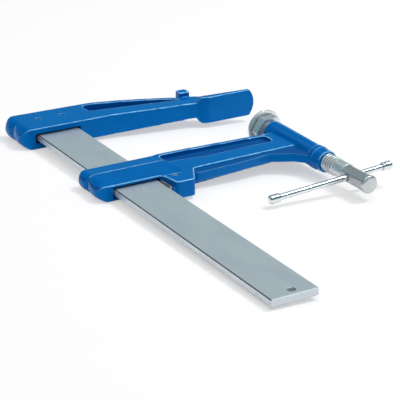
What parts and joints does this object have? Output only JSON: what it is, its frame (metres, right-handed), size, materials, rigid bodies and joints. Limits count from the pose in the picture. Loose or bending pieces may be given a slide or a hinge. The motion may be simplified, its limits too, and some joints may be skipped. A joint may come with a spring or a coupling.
{
  "type": "bar clamp",
  "caption": "Sliding-jaw bar clamp with forged arms, a flat steel bar, a threaded spindle with a swivel pad, and a sliding tommy bar.",
  "frame": {"origin": "on the fixed jaw's clamping face, where the spindle's axis meets it", "axes": "+Y is the direction in which the spindle presses and runs along the bar, +X points from the bar to the arms' tips, +Z is normal to the arms' broad sides"},
  "size_m": [0.3073, 0.528, 0.043],
  "materials": {
    "blue_paint": "glossy blue enamel on a forging",
    "bar_steel": "drawn flat bar, satin",
    "plated_steel": "bright zinc",
    "spindle_steel": "turned and milled, bright",
    "hard_steel": "hardened, dark"
  },
  "bodies": {
    "rail": {"bar": "bar_steel", "fixed_jaw": "blue_paint", "fixed_jaw_pin_outer": "blue_paint", "fixed_jaw_pin_inner": "blue_paint"},
    "slider": {"sliding_jaw": "blue_paint", "grip_insert": "hard_steel", "grip_insert_pin": "hard_steel"},
    "feed": {"ball_cup": "hard_steel"},
    "screw": {"spindle": "spindle_steel"},
    "handle": {"tommy_bar": "plated_steel", "tommy_bar_end_left": "plated_steel", "tommy_bar_end_right": "plated_steel"},
    "pad": {"swivel_pad": "plated_steel"}
  },
  "joints": [
    {"name": "jaw_slide", "type": "slide", "parent": "rail", "child": "slider", "axis": [0, 1, 0], "range_m": [-0.25, 0.06]},
    {"name": "spindle_feed", "type": "slide", "parent": "slider", "child": "feed", "axis": [0, 1, 0], "range_m": [-0.001, 0.019]},
    {"name": "spindle_turn", "type": "hinge", "parent": "feed", "child": "screw", "pos_m": [0, -0.21, 0], "axis": [0, 1, 0], "range_deg": [-90, 1710]},
    {"name": "handle_slide", "type": "slide", "parent": "screw", "child": "handle", "axis": [0.9984, 0, 0.0558], "range_m": [-0.0285, 0.0825]},
    {"name": "pad_tilt", "type": "hinge", "parent": "feed", "child": "pad", "pos_m": [0, -0.0934, 0], "axis": [0, 0, 1], "range_deg": [-8, 8]}
  ],
  "couplings": [
    {"joint": "spindle_feed", "follows": "spindle_turn", "m_per_rad": 0.0006366}
  ]
}
